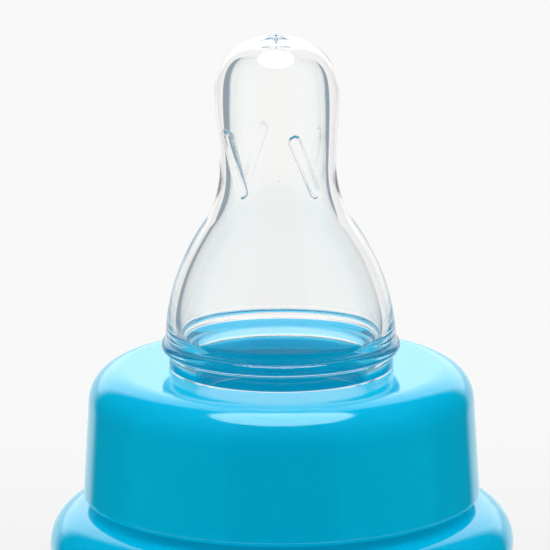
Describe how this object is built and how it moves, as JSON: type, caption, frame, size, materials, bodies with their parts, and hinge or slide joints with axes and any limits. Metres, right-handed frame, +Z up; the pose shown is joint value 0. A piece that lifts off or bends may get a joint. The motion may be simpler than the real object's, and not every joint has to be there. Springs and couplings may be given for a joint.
{
  "type": "feeding bottle",
  "caption": "Upright feeding bottle with a waisted opaque body, a smooth screw collar and a clear ribbed silicone teat.",
  "frame": {"origin": "centre of the bottle's base, on the plane that its standing ring rests on", "axes": "+Z up along the bottle's and the screw thread's axis, towards the tip of the teat; -Y is the front"},
  "size_m": [0.055, 0.055, 0.187],
  "materials": {
    "bottle_plastic": "gloss",
    "collar_plastic": "gloss",
    "clear_silicone": "gloss"
  },
  "bodies": {
    "bottle": {"bottle_body": "bottle_plastic"},
    "teat": {"teat": "clear_silicone"},
    "collar": {"screw_collar": "collar_plastic"}
  },
  "joints": [
    {"name": "teat_lift", "type": "slide", "parent": "bottle", "child": "teat", "axis": [0, 0, 1], "range_m": [0, 0.008]},
    {"name": "collar_turn", "type": "hinge", "parent": "teat", "child": "collar", "pos_m": [0, 0, 0.1413], "axis": [0, 0, 1], "range_deg": [0, 720]}
  ],
  "couplings": [
    {"joint": "teat_lift", "follows": "collar_turn", "m_per_rad": 0.00063662}
  ]
}
